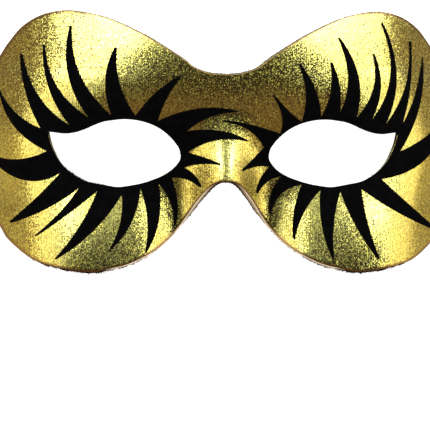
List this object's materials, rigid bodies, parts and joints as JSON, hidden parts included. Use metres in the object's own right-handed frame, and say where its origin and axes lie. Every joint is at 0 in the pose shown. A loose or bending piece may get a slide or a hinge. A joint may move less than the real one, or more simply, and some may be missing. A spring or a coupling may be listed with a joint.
{
  "type": "half eye mask",
  "caption": "Stiff moulded half eye mask covered in gold lamé knit, with black flocked lashes round the eye holes and a thin black felt lining.",
  "frame": {"origin": "middle of the underside of the resting mask, on the surface it lies on", "axes": "+X across the face towards the wearer's left, +Y towards the brow, +Z out of the face, the way the mask looks"},
  "size_m": [0.1894, 0.1005, 0.04],
  "materials": {
    "gold_lame": "metallic foil knit bonded to the moulded wall",
    "black_felt": "matte thin felt",
    "black_flock": "matte flock"
  },
  "bodies": {
    "root": {"gold_shell": "gold_lame", "felt_lining": "black_felt", "lashes_left": "black_flock", "lashes_right": "black_flock"}
  },
  "joints": []
}
